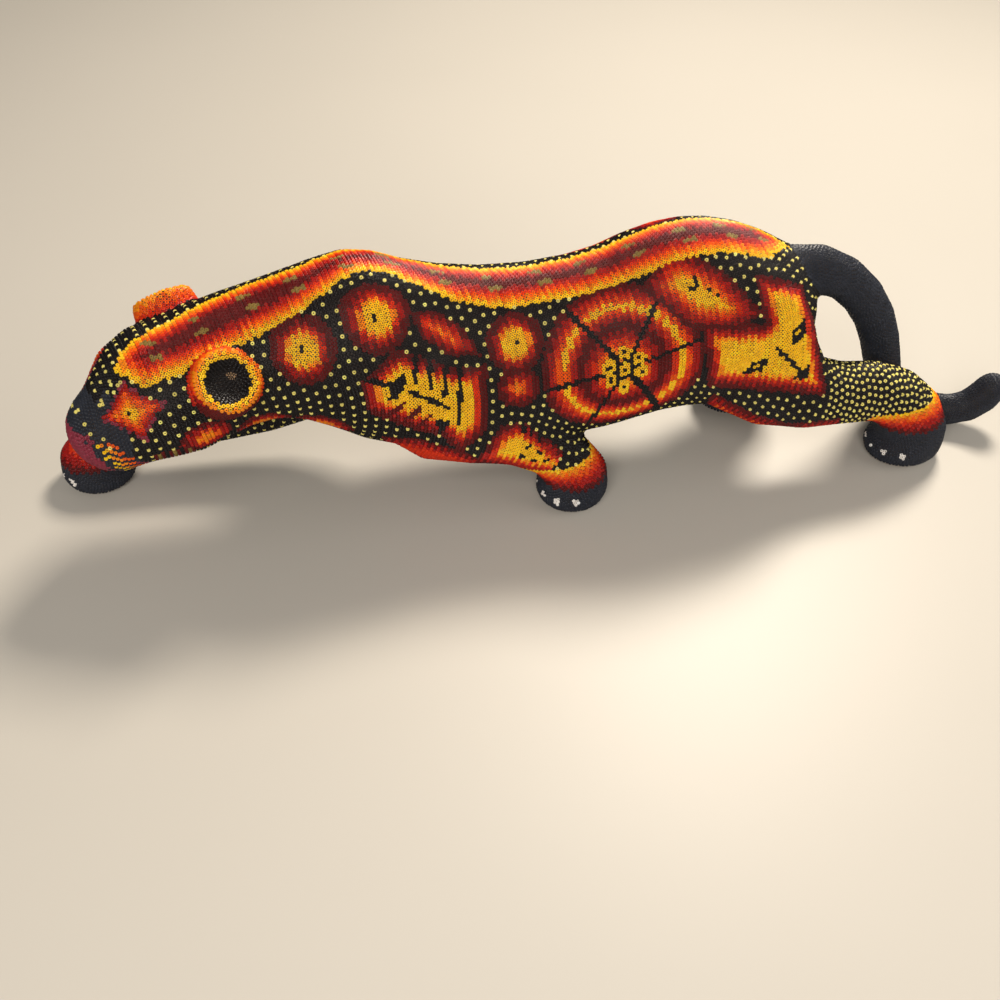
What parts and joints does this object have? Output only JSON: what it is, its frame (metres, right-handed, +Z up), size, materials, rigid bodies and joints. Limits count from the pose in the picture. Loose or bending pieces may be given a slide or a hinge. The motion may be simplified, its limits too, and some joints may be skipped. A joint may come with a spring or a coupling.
{
  "type": "beaded big cat figure",
  "caption": "Stalking big cat carved in wood and dowelled together, covered all over in coloured seed beads pressed into beeswax, standing on its four paws.",
  "frame": {"origin": "on the floor, under the middle of the whole figure", "axes": "+X from nose to tail, +Y to the animal's right, +Z up"},
  "size_m": [0.5766, 0.1048, 0.1548],
  "materials": {
    "carved_wood": "hand-carved light hardwood, hidden under the beads",
    "dowel_wood": "plain turned dowel",
    "band_beads": "glossy opaque seed beads in wax, yellow to dark red",
    "black_beads": "glossy opaque black seed beads in wax",
    "dark_beads": "glossy black seed beads with pale dots, in wax",
    "yellow_beads": "glossy opaque yellow to orange seed beads in wax",
    "red_beads": "glossy seed beads in red, orange and yellow figures, in wax",
    "slate_beads": "glossy slate-grey seed beads in wax",
    "mauve_beads": "glossy mauve seed beads in wax"
  },
  "bodies": {
    "root": {"back_band_beadwork": "band_beads", "belly_beadwork": "dark_beads", "head_core": "carved_wood", "left_ear_beadwork": "yellow_beads", "left_ear_core": "carved_wood", "left_ear_lining": "black_beads", "left_face_beadwork": "dark_beads", "left_flank_beadwork": "red_beads", "left_foreleg_core": "carved_wood", "left_foreleg_cuff_beadwork": "yellow_beads", "left_foreleg_dowel": "dowel_wood", "left_foreleg_paw_beadwork": "black_beads", "left_foreleg_sleeve_beadwork": "dark_beads", "left_hindleg_core": "carved_wood", "left_hindleg_cuff_beadwork": "yellow_beads", "left_hindleg_dowel": "dowel_wood", "left_hindleg_paw_beadwork": "black_beads", "left_hindleg_sleeve_beadwork": "dark_beads", "left_shoulder_beadwork": "red_beads", "left_thigh_beadwork": "red_beads", "muzzle_beadwork": "slate_beads", "neck_dowel": "dowel_wood", "nose_beadwork": "mauve_beads", "right_ear_beadwork": "yellow_beads", "right_ear_core": "carved_wood", "right_ear_lining": "black_beads", "right_face_beadwork": "dark_beads", "right_flank_beadwork": "red_beads", "right_foreleg_core": "carved_wood", "right_foreleg_cuff_beadwork": "yellow_beads", "right_foreleg_dowel": "dowel_wood", "right_foreleg_paw_beadwork": "black_beads", "right_foreleg_sleeve_beadwork": "dark_beads", "right_hindleg_core": "carved_wood", "right_hindleg_cuff_beadwork": "yellow_beads", "right_hindleg_dowel": "dowel_wood", "right_hindleg_paw_beadwork": "black_beads", "right_hindleg_sleeve_beadwork": "dark_beads", "right_shoulder_beadwork": "red_beads", "right_thigh_beadwork": "red_beads", "rump_beadwork": "black_beads", "tail_beadwork": "black_beads", "tail_core": "carved_wood", "tail_dowel": "dowel_wood", "throat_beadwork": "dark_beads", "trunk_core": "carved_wood"}
  },
  "joints": []
}
